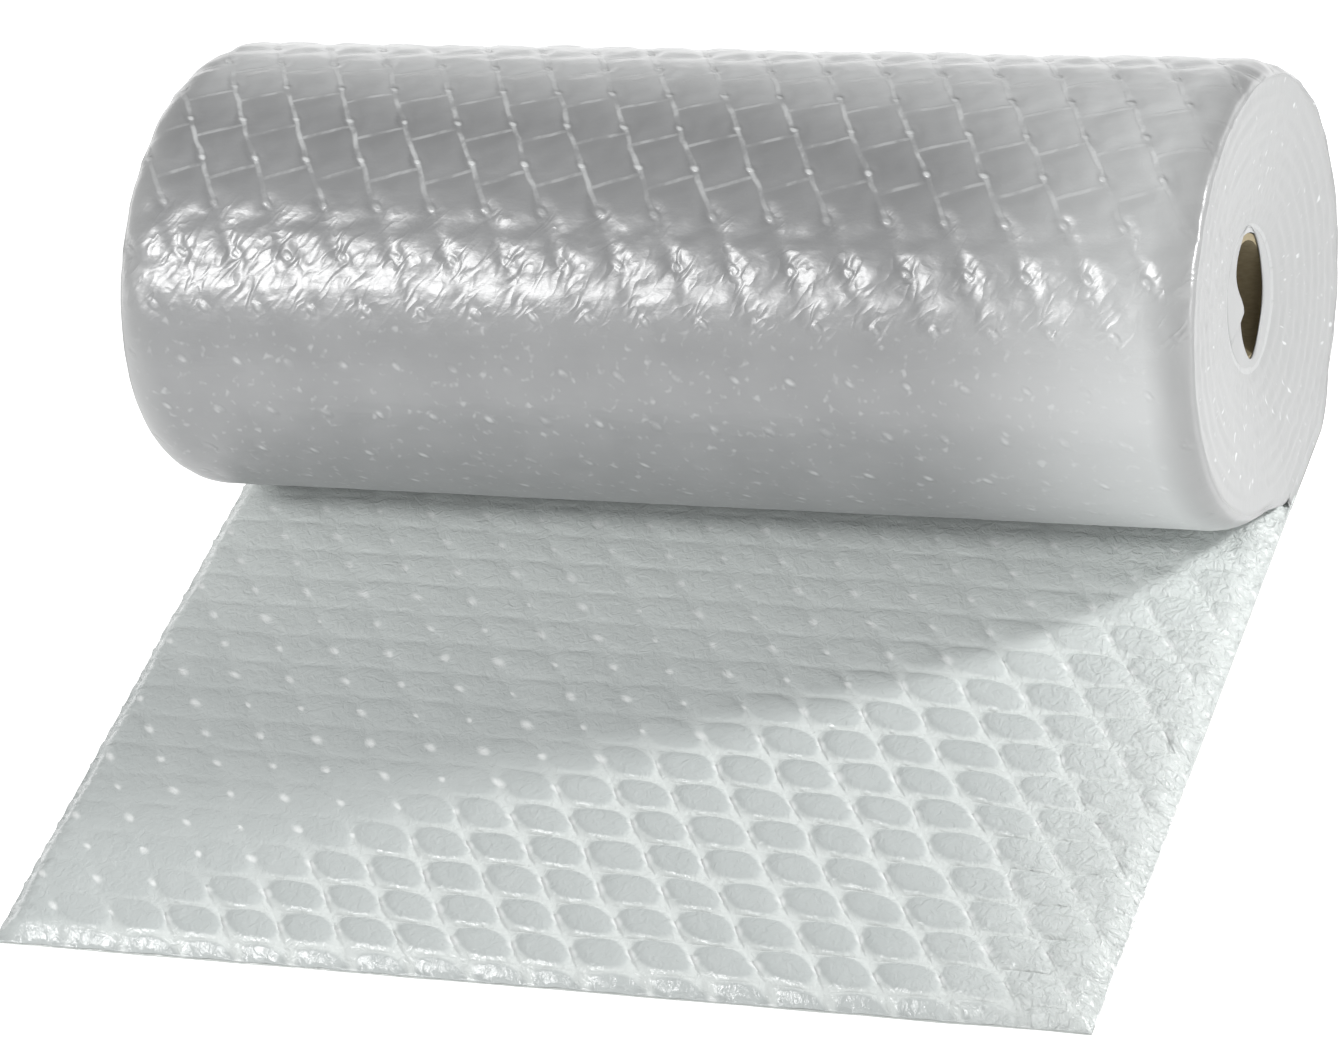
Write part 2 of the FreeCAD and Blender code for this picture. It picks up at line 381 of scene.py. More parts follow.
        # Between its two films each layer sinks in here and there, and the turns are not quite level
        apart = add(tree, MATH, end_turn, 9.0, operation="MULTIPLY")
        wave_place = add(tree, XYZ, arc, apart, side)
        waves = add(
            tree, NOISE, {"Vector": wave_place, "Scale": 0.07, "Detail": 2.0, "Distortion": 0.6},
        )
        hollow = add(tree, RANGE, waves, 0.35, 0.7, *LAYER_HOLLOW)
        sunk = add(tree, MATH, film_line, hollow, operation="MULTIPLY")
        level_place = add(tree, XYZ, end_turn, side * 7, 0.0)
        level = add(tree, NOISE, {"Vector": level_place, "Scale": 0.9, "Detail": 1.0})
        uneven = add(tree, MATH, level, TURN_UNEVENNESS, operation="MULTIPLY")
        dish = add(tree, MATH, dish_share, CORE_SETBACK, uneven, operation="MULTIPLY_ADD")
        set_in = add(tree, MATH, sunk, dish, operation="ADD")
        inset = add(tree, MATH, set_in, kept, operation="MULTIPLY")
        reach = add(tree, MATH, given["Half width"], inset, operation="SUBTRACT")
        x = add(tree, MATH, reach, side, operation="MULTIPLY")
        shown = place_on_roll(
            tree, given, strip, x, layer_radius, turned, add(tree, XYZ, x, end_along, end_turn),
        )
        if side < 0:
            shown = add(tree, "GeometryNodeFlipFaces", shown)
        tree.links.new(shown.outputs[0], parts.inputs[0])
    tree.links.new(outside.outputs[0], parts.inputs[0])
    joined = add(tree, "GeometryNodeMergeByDistance", {"Geometry": parts, "Distance": 0.05})
    close_tree(tree, joined, given["Material"])
    return tree


def bubble_tile(name):
    """One bubble on its slanting share of the film, in millimetres, with its foot at Z = 0 and its
    top at Z = 1. Its neighbours bulge against it, so only a shallow groove is left between them."""
    along_row = Vector((half_pitch, 0))
    along_line = Vector((half_pitch / 2, -ROW_PITCH / 2))
    row_steps, line_steps = 5, 3
    corners = [(-1, -1), (1, -1), (1, 1), (-1, 1)]
    border = []
    for k, steps in enumerate((row_steps, line_steps, row_steps, line_steps)):
        start, end = Vector(corners[k]), Vector(corners[(k + 1) % 4])
        border += [start.lerp(end, i / steps) for i in range(steps)]
    rounding = 2.7
    rings = ((1.0, 0.0), (0.9, 0.48), (0.76, 0.84), (0.45, 0.98))
    points = []
    for scale, height in rings:
        for place in border:
            share = (abs(place.x) ** rounding + abs(place.y) ** rounding) ** (1 / rounding)
            reach = scale if height == 0 else scale / share
            flat = along_row * place.x * reach + along_line * place.y * reach
            points.append((flat.x, flat.y, height))
    points.append((0, 0, 1))
    count = len(border)
    faces = []
    for start in range(0, (len(rings) - 1) * count, count):
        for i in range(count):
            j = (i + 1) % count
            faces.append((start + i, start + count + i, start + count + j, start + j))
    last = (len(rings) - 1) * count
    faces += [(last + i, len(points) - 1, last + (i + 1) % count) for i in range(count)]
    mesh = bpy.data.meshes.new(name)
    mesh.from_pydata(points, [], faces)
    tile = bpy.data.objects.new(name, mesh)
    bpy.context.collection.objects.link(tile)
    return tile


def bubble_rows_tree(sizes):
    """Rows of bubbles from the loose end's front edge to the roll, one tile for each bubble."""
    tree, given = new_tree("lay the bubbles", sizes)
    places = add(
        tree, "GeometryNodeMeshGrid",
        {"Size X": given["Span across"], "Size Y": given["Span along"],
         "Vertices X": given["Columns"], "Vertices Y": given["Rows"]},
    )
    here = add(tree, SPLIT, add(tree, "GeometryNodeInputPosition"))
    along = add(tree, MATH, given["Span along"], 0.5, here.outputs["Y"], operation="MULTIPLY_ADD")
    rows_along = add(tree, MATH, along, ROW_PITCH, operation="DIVIDE")
    row = add(tree, MATH, rows_along, operation="ROUND")
    odd = add(tree, MATH, row, 2.0, operation="FLOORED_MODULO")
    shift = add(tree, MATH, odd, half_pitch, ROW_START_ACROSS, operation="MULTIPLY_ADD")
    across = add(tree, MATH, here, shift, operation="ADD")
    y = add(tree, MATH, along, given["First row"], operation="ADD")
    row_place = add(tree, XYZ, across, y, 0.0)
    rows = add(tree, "GeometryNodeSetPosition", {"Geometry": places, "Position": row_place})
    points = add(tree, "GeometryNodeMeshToPoints", rows)
    tile = add(tree, "GeometryNodeObjectInfo", given["Tile"])
    laid = add(
        tree, "GeometryNodeInstanceOnPoints",
        {"Points": points, "Instance": tile.outputs["Geometry"]},
    )
    sheet = add(tree, "GeometryNodeRealizeInstances", laid)
    welded = add(tree, "GeometryNodeMergeByDistance", {"Geometry": sheet, "Distance": 0.01})
    # The film is not laid quite straight, and no two bubbles are alike
    flat = add(tree, "GeometryNodeInputPosition")
    spot = add(tree, SPLIT, flat)
    level = add(tree, XYZ, spot, spot.outputs["Y"], 0.0)
    wander = add(tree, NOISE, {"Vector": level, "Scale": 0.03, "Detail": 2.0})
    strayed = add(tree, VECTOR_MATH, wander.outputs["Color"], (0.5, 0.5, 0.5), operation="SUBTRACT")
    stray = add(tree, VECTOR_MATH, strayed, (7.0, 5.0, 0.0), operation="MULTIPLY")
    # Bubbles cut at the film's edges have lost their air, and those beside them are slack
    off_middle = add(tree, MATH, spot, operation="ABSOLUTE")
    side_room = add(tree, MATH, given["Half width"], off_middle, operation="SUBTRACT")
    front_room = add(tree, MATH, spot.outputs["Y"], given["Front edge"], operation="SUBTRACT")
    room = add(tree, MATH, side_room, front_room, 4.0, operation="SMOOTH_MIN")
    filled = add(tree, RANGE, room, 0.0, 9.0, 0.06, 1.0, **SMOOTH)
    slack = add(tree, RANGE, spot, *SLACKENS, 0.0, 1.0, **SMOOTH)
    # They are fuller towards the front and the right, and flatter where the roll lay on them
    to_corner = towards_lit_corner(tree, spot)
    groove = add(tree, RANGE, to_corner, *CORNER_LINE, SHALLOW_GROOVE, DEEP_GROOVE, **SMOOTH)
    below_top = add(tree, MATH, spot.outputs["Z"], 1.0, operation="SUBTRACT")
    sunk = add(tree, MATH, below_top, groove, operation="MULTIPLY")
    rise = add(tree, MATH, sunk, BUBBLE_TOP - EDGE_FLOOR, operation="ADD")
    dents = add(tree, NOISE, {"Vector": level, "Scale": 0.06, "Detail": 3.0, "Distortion": 0.5})
    dent_depth = add(tree, MATH, slack, 4.5, 1.4, operation="MULTIPLY_ADD")
    off_dent = add(tree, MATH, dents, 0.55, operation="SUBTRACT")
    dent = add(tree, MATH, off_dent, dent_depth, operation="MULTIPLY")
    dented = add(tree, MATH, dent, spot.outputs["Z"], rise, operation="MULTIPLY_ADD")
    z = add(tree, MATH, dented, filled, EDGE_FLOOR, operation="MULTIPLY_ADD")
    shape = add(tree, XYZ, spot, spot.outputs["Y"], z)
    stored = add(
        tree, "GeometryNodeStoreNamedAttribute",
        {"Geometry": welded, "Name": "web_place", "Value": flat}, data_type="FLOAT_VECTOR",
    )
    uneven = add(
        tree, "GeometryNodeSetPosition", {"Geometry": stored, "Position": shape, "Offset": stray},
    )
    close_tree(tree, uneven, given["Material"])
    return tree


# Grid of the flat film
BACKING_COLUMNS = 84
BACKING_ROWS = 56


def backing_tree(sizes):
    """The flat film under the bubbles, which lies on the floor in low waves."""
    tree, given = new_tree("lay the flat film", sizes)
    sheet = add(
        tree, "GeometryNodeMeshGrid",
        {"Size X": given["Width"], "Size Y": given["Length"],
         "Vertices X": BACKING_COLUMNS, "Vertices Y": BACKING_ROWS},
    )
    spot = add(tree, "GeometryNodeInputPosition")
    waves = add(tree, NOISE, {"Vector": spot, "Scale": 0.025, "Detail": 2.0})
    lift = add(tree, RANGE, waves, 0.3, 0.7, 0.3, given["Wave height"])
    middle = add(tree, MATH, given["Length"], 0.5, given["Front edge"], operation="MULTIPLY_ADD")
    moved = add(tree, XYZ, 0.0, middle, lift)
    shaped = add(tree, "GeometryNodeSetPosition", {"Geometry": sheet, "Offset": moved})
    close_tree(tree, shaped, given["Material"])
    return tree


# Materials
def new_material(name):
    """An empty node material's tree, and the material."""
    material = bpy.data.materials.new(name)
    material.use_nodes = True
    material.node_tree.nodes.clear()
    return material, material.node_tree


# Places along the last turn, in mm from the back edge of the flat spot: it goes up the back, over
# the top and down the front. Each change of the film's looks, painted light among them, begins and
# ends at these.
SEAMS_FADE = (325.0, 365.0)
CRINKLES_BEGIN = (342.0, 372.0)
GLITTER_BEGINS = (385.0, 405.0)
CRINKLES_END = (388.0, 414.0)
TOP_PALE_FROM = 236.0
TOP_PALE_TO = (312.0, 352.0)

# What is left of the crinkles outside their band
CRINKLE_TRACE = 0.06

# Places across the roll: where its painted light makes it paler to the right, and where its top stays
# pale for longer
PALER_RIGHT = (115.0, 245.0)
PALE_FOR_LONGER = (20.0, 230.0)

# Ends: how far in from the rim, in mm, the film takes the ends' colour
RIM_COLOUR = (20.0, 4.0)


def wound_film_material():
    """Blown polyethylene film over trapped air: glossy and crinkled, grey where the turns below show
    through it, and whiter at the ends, where light gets in. Painted light: white seam lines and dots,
    white specks, a paler top and right end, and glints on the ends."""
    material, tree = new_material("polyethylene film wound on the roll")
    place = add(tree, "ShaderNodeAttribute", attribute_name="web_place", attribute_type="GEOMETRY")
    split = add(tree, SPLIT, place.outputs["Vector"])
    across, along, end_turn = split.outputs["X"], split.outputs["Y"], split.outputs["Z"]
    bend = add(tree, NOISE, {"Vector": place.outputs["Vector"], "Scale": 0.05, "Detail": 2.0})
    off_bend = add(tree, MATH, bend, 0.5, operation="SUBTRACT")
    bent = add(tree, MATH, off_bend, 5.0, across, operation="MULTIPLY_ADD")
    long_seam, short_seam, node = bubble_net(tree, bent, along, *NODE_NET)
    patchy = add(tree, NOISE, {"Vector": place.outputs["Vector"], "Scale": 0.09, "Detail": 3.0})
    # Painted light: white lines along the seams stand for the lit sides of the bubbles
    long_line = add(tree, RANGE, long_seam, 0.4, 1.7, 0.62, 0.0, **SMOOTH)
    short_line = add(tree, RANGE, short_seam, 0.3, 1.3, 0.42, 0.0, **SMOOTH)
    # Painted highlights: a white dot at each point of the net
    node_glint = add(tree, RANGE, node, 0.6, 2.4, 1.0, 0.0, **SMOOTH)
    lit_seams_and_glints = add(tree, MATH, long_line, short_line, operation="MAXIMUM")
    broken = add(tree, RANGE, patchy, 0.38, 0.6, 0.15, 1.0, **SMOOTH)
    lit_seams_and_glints = add(tree, MATH, lit_seams_and_glints, broken, operation="MULTIPLY")
    lit_seams_and_glints = add(tree, MATH, lit_seams_and_glints, node_glint, operation="MAXIMUM")
    # Painted light: the seams' white stands for the key lamp lighting them, so it fades down the
    # front, where that lamp does not reach
    seam_light_fade = add(tree, RANGE, along, *SEAMS_FADE, 1.0, 0.0, **SMOOTH)
    on_outside = add(tree, MATH, end_turn, 0.5, operation="LESS_THAN")
    shown = add(tree, MATH, lit_seams_and_glints, seam_light_fade, operation="MULTIPLY")
    # Painted highlights: the dots stay faintly down the front too
    faint = add(tree, MATH, broken, 0.4, operation="MULTIPLY")
    faint_node_glint = add(tree, MATH, node_glint, faint, operation="MULTIPLY")
    shown = add(tree, MATH, shown, faint_node_glint, operation="MAXIMUM")
    # Painted highlights: small white specks down the front
    glitter_noise = add(tree, NOISE, {"Vector": place.outputs["Vector"], "Scale": 0.22, "Detail": 1.0})
    painted_glitter = add(tree, RANGE, glitter_noise, 0.6, 0.8, 0.0, 0.25, **SMOOTH)
    low = add(tree, RANGE, along, *GLITTER_BEGINS, 0.0, painted_glitter)
    shown = add(tree, MATH, shown, low, operation="MAXIMUM")
    shown = add(tree, MATH, shown, on_outside, operation="MULTIPLY")
    cloudy = add(tree, NOISE, {"Vector": place.outputs["Vector"], "Scale": 0.03, "Detail": 5.0})
    cell = add(
        tree, MIX, {0: cloudy.outputs[0], FIRST: linear("8D8E8F"), SECOND: linear("A1A2A3")}, **COLOUR,
    )
    # Painted light: it is paler on the top and towards the right end, where the light comes through it
    right = add(tree, RANGE, across, *PALER_RIGHT, 0.0, 1.0, **SMOOTH)
    top_end = add(tree, RANGE, across, *PALE_FOR_LONGER, *TOP_PALE_TO)
    top = add(tree, RANGE, along, TOP_PALE_FROM, top_end, 1.0, 0.0, **SMOOTH)
    slack = add(
        tree, MIX, {0: right, FIRST: cell.outputs[MIXED], SECOND: linear("D3D5D5")}, **COLOUR,
    )
    painted_light_paleness = add(
        tree, MIX, {0: top, FIRST: slack.outputs[MIXED], SECOND: linear("EEF0F0")}, **COLOUR,
    )
    seam_lit_colour = add(
        tree, MIX, {0: shown, FIRST: painted_light_paleness.outputs[MIXED], SECOND: linear("F1F3F3")}, **COLOUR,
    )
    # Painted highlights: on the ends a few folds of the film catch the light
    on_end = add(tree, MATH, end_turn, 0.5, operation="GREATER_THAN")
    fleck_along = add(tree, MATH, along, 0.16, operation="MULTIPLY")
    fleck_place = add(tree, XYZ, fleck_along, end_turn, 0.0)
    fleck_noise = add(tree, NOISE, {"Vector": fleck_place, "Scale": 1.0, "Detail": 1.0})
    past_mouth = add(tree, RANGE, end_turn, 1.2, 1.8, 0.0, 0.9)
    fold_glint = add(tree, RANGE, fleck_noise, 0.67, 0.78, 0.0, past_mouth, **SMOOTH)
    end_colour = add(
        tree, MIX, {0: fold_glint, FIRST: linear("A7A8A8"), SECOND: linear("D8DADA")}, **COLOUR,
    )
    from_middle = add(tree, MATH, across, operation="ABSOLUTE")
    rim_start, rim_end = (half_width - depth for depth in RIM_COLOUR)
    rim = add(tree, RANGE, from_middle, rim_start, rim_end, 0.0, 1.0)
    end_or_rim = add(tree, MATH, on_end, rim, operation="MAXIMUM")
    colour = add(
        tree, MIX,
        {0: end_or_rim, FIRST: seam_lit_colour.outputs[MIXED], SECOND: end_colour.outputs[MIXED]}, **COLOUR,
    )
    # Crinkles: short folds that lean one way, most of them round the net's points, finer wavelets
    # that are longer across the roll than round it, and a dimple at each point
    leaning = add(
        tree, MAPPING,
        {"Vector": place.outputs["Vector"], "Rotation": (0.0, 0.0, -0.9), "Scale": (11.0, 5.0, 5.0)},
        vector_type="TEXTURE",
    )
    folds = add(tree, NOISE, {"Vector": leaning, "Scale": 1.0, "Detail": 0.6, "Distortion": 0.5})
    from_fold = add(tree, MATH, folds, 0.5, operation="SUBTRACT")
    off_fold = add(tree, MATH, from_fold, operation="ABSOLUTE")
    apart = add(tree, RANGE, across, -220.0, 60.0, 0.6, 0.15)
    near_point = add(tree, RANGE, node, 4.0, 14.0, 1.0, apart, **SMOOTH)
    ridged = add(tree, MATH, off_fold, near_point, operation="MULTIPLY")
    drawn = add(tree, MAPPING, {"Vector": place.outputs["Vector"], "Scale": (0.13, 0.24, 0.24)})
    wavelets = add(tree, NOISE, {"Vector": drawn, "Scale": 1.0, "Detail": 3.0})
    dimple = add(tree, RANGE, node, 0.5, 3.5, 0.3, 0.0, **SMOOTH)
    above = add(tree, RANGE, along, *CRINKLES_BEGIN, CRINKLE_TRACE, 1.0, **SMOOTH)
    below = add(tree, RANGE, along, *CRINKLES_END, 1.0, CRINKLE_TRACE, **SMOOTH)
    crumpled = add(tree, MATH, above, below, operation="MULTIPLY")
    height = add(tree, MATH, ridged, -1.3, operation="MULTIPLY")
    height = add(tree, MATH, height, crumpled, operation="MULTIPLY")
    height = add(tree, MATH, wavelets, 0.2, height, operation="MULTIPLY_ADD")
    height = add(tree, MATH, dimple, on_outside, height, operation="MULTIPLY_ADD")
    height = add(tree, MATH, shown, 0.35, height, operation="MULTIPLY_ADD")
    bump = add(tree, "ShaderNodeBump", {"Strength": 1.0, "Distance": MM, "Height": height})
    # The crinkled film glints, and what hangs clear of the bubbles has only a dull sheen
    hanging = add(tree, RANGE, below, CRINKLE_TRACE, 1.0, 0.1, 1.0)
    glint = add(tree, MATH, hanging, on_outside, operation="MULTIPLY")
    surface = add(
        tree, "ShaderNodeBsdfPrincipled",
        {"Base Color": colour.outputs[MIXED], "Roughness": 0.4, "IOR": 1.7, "Normal": bump,
         "Coat Weight": glint, "Coat Roughness": 0.3, "Coat IOR": 1.6, "Coat Normal": bump},
    )
    add(tree, "ShaderNodeOutputMaterial", surface)
    return material


# Places along the loose end, in mm, between which the film grows paler towards the roll: painted light
# that lifts the shade there
PALER_BY_ROLL = (-90.0, 50.0)


def bubble_film_material():
    """Formed polyethylene film: glossy and milky clear, a little green, whiter down in the grooves,
    where it is seen through its own thickness. Painted light: the grooves are whiter in the lit
    corner, the film is paler by the roll, and each bubble has a white glint."""
    material, tree = new_material("formed polyethylene bubble film")
    place = add(tree, "ShaderNodeAttribute", attribute_name="web_place", attribute_type="GEOMETRY")
    split = add(tree, SPLIT, place.outputs["Vector"])
    cloudy = add(tree, NOISE, {"Vector": place.outputs["Vector"], "Scale": 0.05, "Detail": 5.0})
    top = add(
        tree, MIX, {0: cloudy.outputs[0], FIRST: linear("C0C6C5"), SECOND: linear("CCD1D0")}, **COLOUR,
    )
    # Painted light: the grooves are whitened only towards the lit corner
    lit_corner_whitening = add(tree, RANGE, towards_lit_corner(tree, split), *CORNER_LINE, 0.05, 1.0, **SMOOTH)
    groove = add(tree, RANGE, split.outputs["Z"], 0.2, 0.8, lit_corner_whitening, 0.0, **SMOOTH)
    slack = add(tree, RANGE, split, *WHITENS, 0.0, 0.75, **SMOOTH)
    first_row = front_edge + FIRST_ROW_FROM_EDGE
    middle = bubble_net(
        tree, split, split.outputs["Y"], BUBBLE_PITCH, ROW_PITCH, -1, (ROW_START_ACROSS, first_row),
    )[2]
    # Painted highlights: a white glint of varying size on each bubble
    patchy = add(tree, NOISE, {"Vector": place.outputs["Vector"], "Scale": 0.07, "Detail": 1.0})
    glint_size = add(tree, RANGE, patchy, 0.36, 0.62, 1.4, 4.2)
    painted_glint = add(tree, RANGE, middle, glint_size, 0.4, 0.0, 1.0, **SMOOTH)
    # Painted light: it is paler by the roll, where light comes to it through the film above
    painted_light_by_roll = add(tree, RANGE, split.outputs["Y"], *PALER_BY_ROLL, 0.0, 0.8, **SMOOTH)
    # This whiteness carries painted light: the lit corner's grooves and the film by the roll
    white = add(tree, MATH, groove, slack, operation="MAXIMUM")
    white = add(tree, MATH, white, painted_light_by_roll, operation="MAXIMUM")
    milky = add(
        tree, MIX, {0: white, FIRST: top.outputs[MIXED], SECOND: linear("E3E8E6")}, **COLOUR,
    )
    colour = add(
        tree, MIX, {0: painted_glint, FIRST: milky.outputs[MIXED], SECOND: linear("F2F5F4")}, **COLOUR,
    )
    fine = add(
        tree, NOISE,
        {"Vector": place.outputs["Vector"], "Scale": 0.25, "Detail": 4.0, "Distortion": 1.0},
    )
    rough = add(tree, MATH, slack, 2.0, 0.6, operation="MULTIPLY_ADD")
    height = add(tree, MATH, fine, rough, operation="MULTIPLY")
    bump = add(tree, "ShaderNodeBump", {"Strength": 1.0, "Distance": MM, "Height": height})
    surface = add(
        tree, "ShaderNodeBsdfPrincipled",
        {"Base Color": colour.outputs[MIXED], "Roughness": 0.2, "IOR": 1.5, "Normal": bump},
    )
    add(tree, "ShaderNodeOutputMaterial", surface)
    return material


def backing_material():
    """Flat polyethylene film: glossy, milky clear, with the fine waves that blown film has."""
    material, tree = new_material("flat polyethylene backing film")
    spot = add(tree, "ShaderNodeTexCoord")
    waves = add(tree, NOISE, {"Vector": spot.outputs["Object"], "Scale": 120.0, "Detail": 3.0})
    colour = add(
        tree, MIX, {0: waves.outputs[0], FIRST: linear("D6DAD7"), SECOND: linear("E4E7E5")}, **COLOUR,
    )
    bump = add(tree, "ShaderNodeBump", {"Strength": 0.6, "Distance": MM, "Height": waves})
    surface = add(
        tree, "ShaderNodeBsdfPrincipled",
        {"Base Color": colour.outputs[MIXED], "Roughness": 0.2, "IOR": 1.5, "Normal": bump},
    )
    add(tree, "ShaderNodeOutputMaterial", surface)
    return material


# How far the board's seam climbs along the tube in one turn, in mm
BOARD_LEAD = 60.0


def kraft_material():
    """Spiral-wound kraft board: matt brown paper with fibres and a seam that climbs round it."""
    material, tree = new_material("spiral-wound kraft board")
    spot = add(tree, "ShaderNodeTexCoord")
    centred = add(
        tree, MAPPING,
        {"Vector": spot.outputs["Object"], "Location": (0.0, -axis_y, -axis_height),
         "Scale": (1 / MM, 1 / MM, 1 / MM)},
    )
    split = add(tree, SPLIT, centred)
    around = add(tree, MATH, split.outputs["Y"], split.outputs["Z"], operation="ARCTAN2")
    wound = add(tree, MATH, around, BOARD_LEAD / FULL_TURN, split, operation="MULTIPLY_ADD")
    off_turn = add(tree, MATH, wound, BOARD_LEAD / 2, -BOARD_LEAD / 2, operation="WRAP")
    off_seam = add(tree, MATH, off_turn, operation="ABSOLUTE")
    seam = add(tree, RANGE, off_seam, 0.3, 1.2, 1.0, 0.0, **SMOOTH)
    drawn = add(tree, MAPPING, {"Vector": centred, "Scale": (0.3, 0.9, 0.9)})
    fibres = add(tree, NOISE, {"Vector": drawn, "Scale": 1.0, "Detail": 4.0})
    paper = add(
        tree, MIX, {0: fibres.outputs[0], FIRST: linear("857A5F"), SECOND: linear("AEA184")}, **COLOUR,
    )
    colour = add(tree, MIX, {0: seam, FIRST: paper.outputs[MIXED], SECOND: linear("645B45")}, **COLOUR)
    height = add(tree, MATH, seam, -0.4, fibres, operation="MULTIPLY_ADD")
    bump = add(tree, "ShaderNodeBump", {"Strength": 0.5, "Distance": 0.0003, "Height": height})
    surface = add(
        tree, "ShaderNodeBsdfPrincipled",
        {"Base Color": colour.outputs[MIXED], "Roughness": 0.85, "Normal": bump},
    )
    add(tree, "ShaderNodeOutputMaterial", surface)
    return material


# Pieces
# Thickness of the films, in mm
BUBBLE_FILM_THICKNESS = 0.3
BACKING_THICKNESS = 0.2

# How far in front of the core's axis, in mm, the roll begins to hang over the bubbles, the bubbles
# end and their backing ends, and how much room is left under the roll
OVERHANG = 105
BUBBLES_END = 14
BACKING_END = 10
ROOM_UNDER_ROLL = 0.4


def cut_to_web(piece):
    """Cuts a sheet of tiles off at the web's two sides and its front edge."""
    mesh = bmesh.new()
    mesh.from_mesh(piece.data)
    cuts = (
        ((half_width * MM, 0, 0), (1, 0, 0)),
        ((-half_width * MM, 0, 0), (-1, 0, 0)),
        ((0, front_edge * MM, 0), (0, -1, 0)),
    )
    for point, outwards in cuts:
        bmesh.ops.bisect_plane(
            mesh, geom=mesh.verts[:] + mesh.edges[:] + mesh.faces[:], dist=1e-6,
            plane_co=point, plane_no=outwards, clear_outer=True,
        )
    mesh.to_mesh(piece.data)
    mesh.free()


def roll_underside(y):
    """Height in mm of the roll's last turn over a place on the floor in front of the flat spot."""
    for degrees in range(90, FLAT_DEGREES - 1, -1):
        angle = math.radians(degrees)
        free_step = 1 / math.hypot(math.sin(angle) / SIDE_STEP, math.cos(angle) / TOP_STEP)
        turn = TURNS - 1 + (FLAT_HALF_ANGLE + angle) / FULL_TURN
        radius = inner_radius + turn * free_step
        if axis_y - radius * math.sin(angle) >= y:
            return axis_height - radius * math.cos(angle)
    return 0.0


def press_under_roll(piece):
    """Holds the bubbles down where they go in under the roll."""
    front = axis_y - OVERHANG
    for vertex in piece.data.vertices:
        y = vertex.co.y / MM
        if y > front:
            limit = max(roll_underside(y) - ROOM_UNDER_ROLL, EDGE_FLOOR)
            vertex.co.z = min(vertex.co.z, limit * MM)


def give_thickness(piece, thickness):
    """Turns a sheet into film of this thickness in mm, on its lower side."""
    wall = piece.modifiers.new("film thickness", "SOLIDIFY")
    wall.thickness = thickness * MM
    wall.offset = -1


def bubble_layer(material):
    """The loose end's bubbles."""
    reach = axis_y - BUBBLES_END
    rows = int((reach - front_edge - FIRST_ROW_FROM_EDGE) / ROW_PITCH) + 1
    columns = int(2 * half_width / BUBBLE_PITCH) + 4
    sizes = {
        "Tile": bubble_tile("bubble_tile"),
        "Span across": (columns - 1) * BUBBLE_PITCH,
        "Span along": (rows - 1) * ROW_PITCH,
        "Columns": columns,
        "Rows": rows,
        "First row": front_edge + FIRST_ROW_FROM_EDGE,
        "Half width": half_width,
        "Front edge": front_edge,
        "Material": material,
    }
    piece = make_piece("loose_bubble_layer", bubble_rows_tree(sizes), sizes)
    bpy.data.objects.remove(sizes["Tile"])
    cut_to_web(piece)
    press_under_roll(piece)
    give_thickness(piece, BUBBLE_FILM_THICKNESS)
    return piece


def flat_backing(material):
    """The flat film under the loose end's bubbles."""
    sizes = {
        "Width": 2 * half_width,
        "Length": axis_y - BACKING_END - front_edge,
        "Front edge": front_edge,
        "Wave height": 1.0,
        "Material": material,
    }
    piece = make_piece("loose_backing_film", backing_tree(sizes), sizes)
    give_thickness(piece, BACKING_THICKNESS)
    return piece


def wound_film(material):
    """The wound film's outside and its two ends."""
    sizes = {
        "Turns": TURNS,
        "Half width": half_width,
        "Inner radius": inner_radius,
        "Side step": SIDE_STEP,
        "Top step": TOP_STEP,
        "Axis height": axis_height,
        "Axis Y": axis_y,
        "Flat half angle": FLAT_HALF_ANGLE,
        "Turn length": FULL_TURN * MEAN_RADIUS,
        "Material": material,
    }
    return make_piece("wound_film", wound_film_tree(sizes), sizes)


# Mouths: the innermost film bulges in over the core's ends and leaves a leaf-shaped opening
# The openings' outlines are in mm from the core's axis, towards +Y and +Z, going round once.
MOUTH_POINTS = 120
MOUTH_RIM = 30.5
RIGHT_OPENING = (
    (20, 24), (23, 15), (23, 6), (20, -4), (15, -12), (7, -18), (-4, -23), (-14, -24), (-17, -12),
    (-16, -4), (-13, 1), (-7, -1), (-7, 5), (-9, 12), (-9, 19), (-3, 24), (7, 27), (15, 28),
)
LEFT_OPENING = (
    (14, 15), (18, 8), (19, 0), (16, -9), (9, -16), (0, -18), (-10, -17), (-17, -11),
    (-20, -3), (-18, 6), (-13, 11), (-8, 12), (-4, 17), (4, 19), (10, 18),
)


def smooth_loop(points, count):
    """A closed smooth line through or near these points, as this many evenly numbered places."""
    curve = bpy.data.curves.new("outline", "CURVE")
    curve.resolution_u = 12
    spline = curve.splines.new("NURBS")
    spline.points.add(len(points) - 1)
    for point, (y, z) in zip(spline.points, points):
        point.co = (y, z, 0, 1)
    spline.order_u = 3
    spline.use_cyclic_u = True
    holder = bpy.data.objects.new("outline", curve)
    bpy.context.collection.objects.link(holder)
    bpy.context.view_layer.update()
    shaped = holder.evaluated_get(bpy.context.evaluated_depsgraph_get())
    mesh = bpy.data.meshes.new_from_object(shaped)
    line = [Vector(vertex.co[:2]) for vertex in mesh.vertices]
    bpy.data.objects.remove(holder)
    return [line[i * len(line) // count] for i in range(count)]


